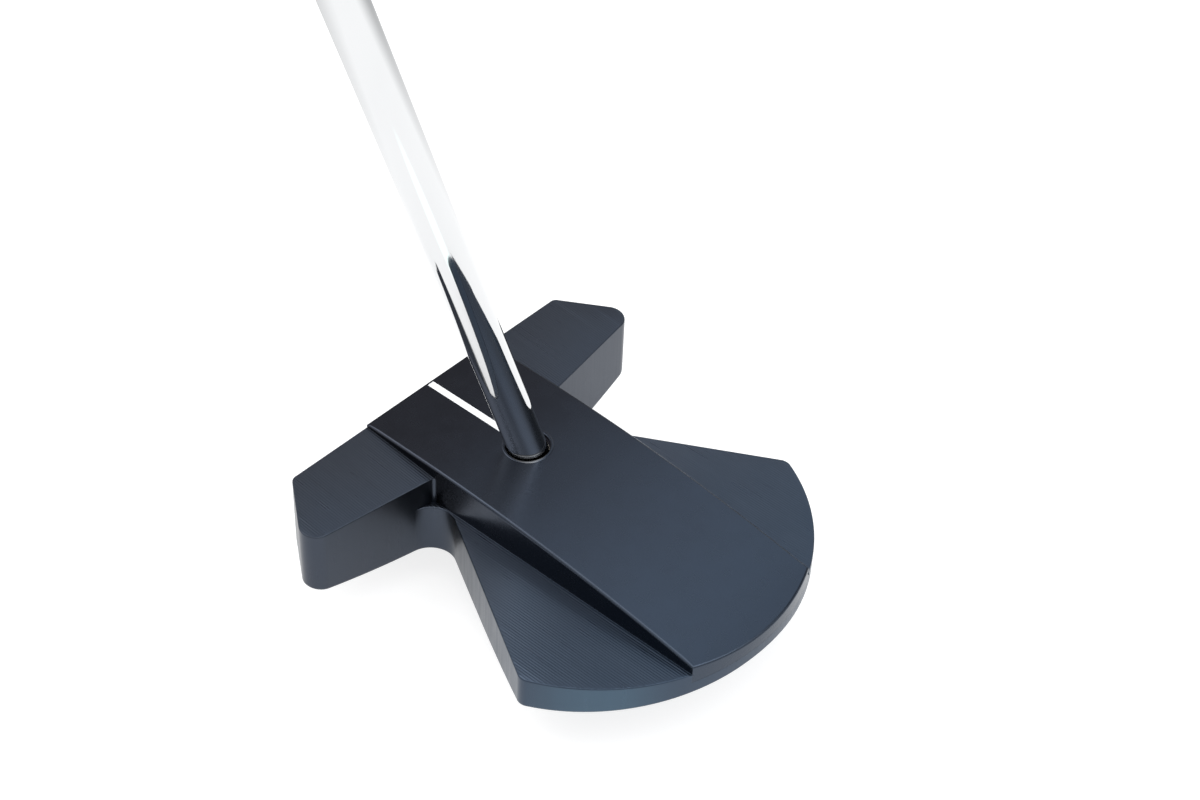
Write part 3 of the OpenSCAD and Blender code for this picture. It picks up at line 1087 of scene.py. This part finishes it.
def frame_material():
    """Navy satin finish of the milled frame, with a painted sheen on the fans' flat tops."""
    nodes = Nodes("navy milled frame")
    nodes.set(metallic=1.0)
    # Bluer and a little lighter towards the rear: painted sheen of bluish light from behind the head
    colour = nodes.rearward((0.057, 0.064, 0.080), (0.054, 0.074, 0.106))
    # The fans' flat tops are painted brighter, most at the front: a painted sheen where their milled
    # lines catch the light
    height = nodes.parts(nodes.position(), "Vector")
    low = nodes.spread(height, "Z", 1, 0, *FAN_TOP)
    upward = nodes.parts(nodes.add("ShaderNodeNewGeometry"), "True Normal")
    flat = nodes.spread(upward, "Z", 0, 1, *FLAT_FROM)
    fans = nodes.times(low, "Result", flat, "Result")
    not_fans = nodes.add("ShaderNodeMath", operation="SUBTRACT")
    not_fans.inputs[0].default_value = 1
    nodes.link(fans, "Value", not_fans, 1)
    lit = nodes.over(nodes.rearward(FAN_SHEEN_FRONT, FAN_SHEEN_REAR), not_fans, "Value", (1, 1, 1))
    with_fan_sheen = nodes.add("ShaderNodeVectorMath", operation="MULTIPLY")
    nodes.link(colour, nodes.colour_out(colour), with_fan_sheen, 0)
    nodes.link(lit, nodes.colour_out(lit), with_fan_sheen, 1)
    nodes.shaded(with_fan_sheen, "Vector", FRAME_MIRRORED)
    streaks = nodes.noise(60, 6, (30, 1, 1))
    nodes.rough(streaks, "Fac", 0.27, 0.35)
    grain = nodes.noise(9000, 2)
    nodes.bump(grain, "Fac", 0.12, 0.00003)
    return nodes.owner


def crown_material():
    """Smooth navy coating over finely blasted steel, with a painted highlight on the near side of the
    bore's rim and painted shade inside the bore.
    """
    nodes = Nodes("navy crown")
    nodes.set(metallic=1.0)
    # Lighter and bluer towards the rear: painted sheen of bluish light from behind the head
    colour = nodes.rearward((0.043, 0.047, 0.060), (0.052, 0.066, 0.090))
    # A lighter band on the near side of the bore's rim: painted highlight of light caught by its edge
    rim_highlight = band(nodes, MOUTH_FOOT + RIM_HIGHLIGHT_SIDE, BEAD_R - RIM_HIGHLIGHT_SIDE.length, BEAD_W)
    with_rim_highlight = nodes.over(colour, rim_highlight, "Value", RIM_HIGHLIGHT_TONE)
    # Near black inside the bore, below the crown's top: painted shade
    mouth = band(nodes, MOUTH_FOOT, 0, BEAD_R + 1)
    height = nodes.parts(nodes.position(), "Vector")
    deep = nodes.add("ShaderNodeMath", operation="LESS_THAN")
    nodes.link(height, "Z", deep, 0)
    deep.inputs[1].default_value = (crown_z(SHAFT_Y) - 0.4) * MM
    inner = nodes.times(mouth, "Value", deep, "Value")
    with_bore_shade = nodes.over(with_rim_highlight, inner, "Value", BORE_SHADE_TONE)
    nodes.shaded(with_bore_shade, nodes.colour_out(with_bore_shade), CROWN_MIRRORED)
    soft = nodes.noise(220, 4)
    nodes.rough(soft, "Fac", 0.24, 0.29)
    grain = nodes.noise(7000, 2)
    nodes.bump(grain, "Fac", 0.16, 0.00003)
    return nodes.owner


def chrome_material():
    """Polished chrome with a faint haze."""
    nodes = Nodes("polished chrome")
    nodes.set(metallic=1.0)
    haze = nodes.noise(120, 3, (1, 1, 0.1))
    nodes.colour(nodes.mix_colour(haze, "Fac", (0.725, 0.73, 0.735), (0.765, 0.77, 0.775)))
    nodes.rough(haze, "Fac", 0.035, 0.06)
    return nodes.owner


def steel_material(name, colour, low, high, scale=1500):
    """Turned or machined steel with fine rings of tool marks."""
    nodes = Nodes(name)
    nodes.set(metallic=1.0)
    marks = nodes.noise(scale, 5, (1, 1, 6))
    nodes.colour(nodes.mix_colour(marks, "Fac", tuple(c * 0.85 for c in colour), colour))
    nodes.rough(marks, "Fac", low, high)
    nodes.bump(marks, "Fac", 0.2, 0.00002)
    return nodes.owner


def paint_material():
    """White enamel, slightly speckled."""
    nodes = Nodes("white line paint")
    speckle = nodes.noise(2500, 3)
    nodes.colour(nodes.mix_colour(speckle, "Fac", (0.9, 0.91, 0.925), (0.95, 0.955, 0.96)))
    nodes.rough(speckle, "Fac", 0.28, 0.42)
    nodes.bump(speckle, "Fac", 0.15, 0.00003)
    return nodes.owner


def rubber_material(name, colour, grain, rough_low=0.55, rough_high=0.72):
    """Matt moulded rubber with a fine pebbled grain."""
    nodes = Nodes(name)
    cells = nodes.add("ShaderNodeTexVoronoi", feature="SMOOTH_F1")
    cells.inputs["Scale"].default_value = grain
    nodes.link(nodes.position(), "Vector", cells, "Vector")
    tone = nodes.noise(60, 4)
    lighter = tuple(c * 1.35 for c in colour)
    nodes.colour(nodes.mix_colour(tone, "Fac", colour, lighter))
    nodes.rough(tone, "Fac", rough_low, rough_high)
    nodes.bump(cells, "Distance", 0.5, 0.0002)
    return nodes.owner


def plain_material(name, colour, low, high, scale):
    """A dull solid, such as cured epoxy or paper tape, with uneven tone."""
    nodes = Nodes(name)
    tone = nodes.noise(scale, 5)
    nodes.colour(nodes.mix_colour(tone, "Fac", colour, tuple(c * 0.8 for c in colour)))
    nodes.rough(tone, "Fac", low, high)
    nodes.bump(tone, "Fac", 0.2, 0.0001)
    return nodes.owner


def dress(piece, material):
    """Gives a piece one material."""
    piece.data.materials.clear()
    piece.data.materials.append(material)
    return piece


# ---------------------------------------------------------------- build the object

def stand_in(piece, node, body, material):
    """Gives a finished piece its material and body, and hides the CAD node it stands in for."""
    dress(piece, material)
    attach(piece, body)
    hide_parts(node)


navy_frame = frame_material()
navy_crown = crown_material()
chrome = chrome_material()
turned_steel = steel_material("turned steel", (0.56, 0.57, 0.58), 0.2, 0.34)
black_steel = steel_material("black oxide steel", (0.12, 0.12, 0.125), 0.3, 0.45)
paint = paint_material()
grip_rubber = rubber_material("grip rubber", (0.016, 0.017, 0.019), 1500)
cap_plastic = rubber_material("cap plastic", (0.028, 0.029, 0.032), 2600, 0.4, 0.52)
washer_rubber = rubber_material("washer rubber", (0.012, 0.012, 0.012), 3000)
epoxy = plain_material("cured epoxy", (0.35, 0.33, 0.28), 0.3, 0.5, 300)
film = plain_material("bond film", (0.02, 0.02, 0.02), 0.4, 0.6, 300)
tape = plain_material("grip tape", (0.62, 0.56, 0.42), 0.7, 0.85, 150)

stand_in(soften(cut(frame_shape(), milling() + weight_seats() + screw_sinks())),
         "wing_frame", "head", navy_frame)
stand_in(soften(cut(cut(crown_shape(), [rim_bead()], "UNION"), [bore(), line_groove()])),
         "center_block", "head", navy_crown)
stand_in(soften(line_paint()), "alignment_line", "head", paint)
stand_in(soften(shaft_shape()), "shaft", "head", chrome)
stand_in(soften(grip_shape(), 60), "grip", "head", grip_rubber)
stand_in(soften(cap_shape()), "grip_cap", "head", cap_plastic)
stand_in(soften(screws_shape()), "block_screws", "head", black_steel)
for label, seat in spots():
    stand_in(soften(weight_shape(label + "_sole_weight", seat)),
             label + "_weight", label + "_weight", turned_steel)
    stand_in(soften(washer_shape(label + "_seal", seat)),
             label + "_washer", label + "_washer", washer_rubber)
dress(frame["nodes"]["shaft_bond"], epoxy)
dress(frame["nodes"]["bond_film"], film)
dress(frame["nodes"]["grip_tape"], tape)


# ---------------------------------------------------------------- floor, light and camera

# Floor, in millimetres, and its glow, a pool of light painted round the head, with places and reaches
# in metres
FLOOR_GAP = 10
FLOOR_R = 650
FLOOR_GLOW = 0.66
GLOW_AT = (-0.02, 0.1)
GLOW_REACH = (0.17, 0.34)
FLOOR_SEEN = 0.75
# A bluish glowing patch painted on the floor behind the head, hidden from the camera: painted bluish
# light for the head's rear walls to reflect
BLUE_GLOW_AT = (0.054, 0.106)
BLUE_GLOW_REACH = (0.012, 0.032)
BLUE_GLOW_TONE = (1.5, 1.85, 1.8)

# Studio: its walls stand between two heights, given as the sine of the elevation
STUDIO_WHITE = (1.0, 1.0, 1.0)
STUDIO_WALL = (0.22, 0.23, 0.25)
WALL_TOP = (0.04, 0.34)
WALL_FOOT = (-0.35, -0.8)

# Parts of the studio: azimuth, elevation, angles where the part begins to fade and ends, colour
STUDIO = [
    (192, 60, 4, 26, (1.12, 1.24, 1.36)),  # window, seen in the rear of the crown
    (228, 30, 11, 27, (0.30, 0.27, 0.26)),  # dark opening, seen in the front of the crown
    (243, 58, 5, 12, (0.25, 0.25, 0.26)),  # dark gap above it
    (158, 40, 14, 26, (0.18, 0.19, 0.20)),  # dark corner, seen in the crown's rear edge
    (292, 60, 13, 25, (2.8, 2.8, 2.8)),  # front soft box
    (114, 57, 11, 22, (2.9, 3.0, 3.1)),  # rear soft box
    (41, 82, 10, 18, (2.6, 2.6, 2.6)),  # soft box overhead
]

# Camera: where it looks, from how far and which way, and its lens and roll
CAMERA_TARGET = (-0.0350, 0.0255, 0.012)
CAMERA_FAR = 0.5738
CAMERA_AZIMUTH = 39.61
CAMERA_ELEVATION = 42.04
CAMERA_LENS = 68.5
CAMERA_ROLL = 2.63


def floor():
    """A white sheet a little below the sole, clear when it's looked at from underneath."""
    skin = Skin()
    skin.face([p + Vector((0, 50, -FLOOR_GAP)) for p in ring(FLOOR_R, 0, 96)])
    sheet = skin.build("floor")
    if sheet.data.polygons[0].normal.z < 0:
        sheet.data.flip_normals()
    nodes = Nodes("pale floor")
    nodes.set(base_color=(0.45, 0.45, 0.45, 1), roughness=0.9)
    nodes.shader.inputs["Specular IOR Level"].default_value = 0.1
    # The glow is a pool of light painted on the floor round the head, which lights the head from
    # below and brightens it in reflections; camera rays see the floor at least FLOOR_SEEN bright
    reach = nodes.reach(nodes.position((1, 1, 0), (-GLOW_AT[0], -GLOW_AT[1], 0)))
    fall = nodes.spread(reach, "Value", FLOOR_GLOW, 0, *GLOW_REACH)
    seen = nodes.add("ShaderNodeLightPath")
    white = nodes.spread(seen, "Is Camera Ray", 0, FLOOR_SEEN, 0, 1)
    glow = nodes.add("ShaderNodeMath", operation="MAXIMUM")
    nodes.link(white, "Result", glow, 0)
    nodes.link(fall, "Result", glow, 1)
    nodes.link(glow, "Value", nodes.shader, "Emission Strength")
    # Bluish glow near the head's rear, for rays other than the camera's: painted bluish light seen in
    # reflections
    away = nodes.reach(nodes.position((1, 1, 0), (-BLUE_GLOW_AT[0], -BLUE_GLOW_AT[1], 0)))
    patch = nodes.spread(away, "Value", 1, 0, *BLUE_GLOW_REACH)
    unseen = nodes.spread(seen, "Is Camera Ray", 1, 0, 0, 1)
    share = nodes.times(patch, "Result", unseen, "Result")
    blue_glow_colour = nodes.mix_colour(share, "Value", STUDIO_WHITE, BLUE_GLOW_TONE)
    nodes.link(blue_glow_colour, nodes.colour_out(blue_glow_colour), nodes.shader, "Emission Color")
    side = nodes.add("ShaderNodeNewGeometry")
    clear = nodes.add("ShaderNodeBsdfTransparent")
    pick = nodes.add("ShaderNodeMixShader")
    nodes.link(side, "Backfacing", pick, 0)
    nodes.link(nodes.shader, "BSDF", pick, 1)
    nodes.link(clear, "BSDF", pick, 2)
    nodes.link(pick, "Shader", nodes.tree.nodes["Material Output"], "Surface")
    dress(sheet, nodes.owner)


def direction(azimuth, elevation):
    """A unit vector; azimuth 0 is the heel side and 90 the rear."""
    a, e = math.radians(azimuth), math.radians(elevation)
    return Vector((math.cos(e) * math.cos(a), math.cos(e) * math.sin(a), math.sin(e)))


def spot(nodes, where, way, inner, outer):
    """1 within an angle of a direction and 0 outside a wider one."""
    dot = nodes.add("ShaderNodeVectorMath", operation="DOT_PRODUCT")
    dot.inputs[1].default_value = way
    nodes.link(where, "Generated", dot, 0)
    return nodes.step(dot, "Value", math.cos(math.radians(outer)), math.cos(math.radians(inner)))


def world():
    """A white studio with a dark opening in front and darker walls near the horizon."""
    nodes = Nodes("studio", "worlds")
    where = nodes.add("ShaderNodeTexCoord")
    height = nodes.parts(where, "Generated")
    walls = nodes.add("ShaderNodeMath", operation="ADD")
    nodes.link(nodes.step(height, "Z", *WALL_TOP), "Result", walls, 0)
    nodes.link(nodes.step(height, "Z", *WALL_FOOT), "Result", walls, 1)
    light = nodes.mix_colour(walls, "Value", STUDIO_WALL, STUDIO_WHITE)
    for azimuth, elevation, inner, outer, colour in STUDIO:
        part = spot(nodes, where, direction(azimuth, elevation), inner, outer)
        light = nodes.over(light, part, "Result", colour)
    light = nodes.over(light, nodes.add("ShaderNodeLightPath"), "Is Camera Ray", STUDIO_WHITE)
    nodes.link(light, nodes.colour_out(light), nodes.tree.nodes["Background"], "Color")
    bpy.context.scene.world = nodes.owner


def camera():
    """At the photograph's viewing angle, on the heel side behind the head."""
    lens = bpy.data.cameras.new("camera")
    lens.sensor_width = 36
    lens.lens = CAMERA_LENS
    lens.clip_start = 0.01
    view = bpy.data.objects.new("camera", lens)
    way = direction(CAMERA_AZIMUTH, CAMERA_ELEVATION)
    turn = (-way).to_track_quat("-Z", "Y").to_matrix().to_4x4()
    roll = Matrix.Rotation(math.radians(CAMERA_ROLL), 4, "Z")
    view.matrix_world = Matrix.Translation(Vector(CAMERA_TARGET) + way * CAMERA_FAR) @ turn @ roll
    bpy.context.scene.collection.objects.link(view)
    bpy.context.scene.camera = view


floor()
world()
camera()
bpy.context.scene.view_settings.view_transform = "Standard"
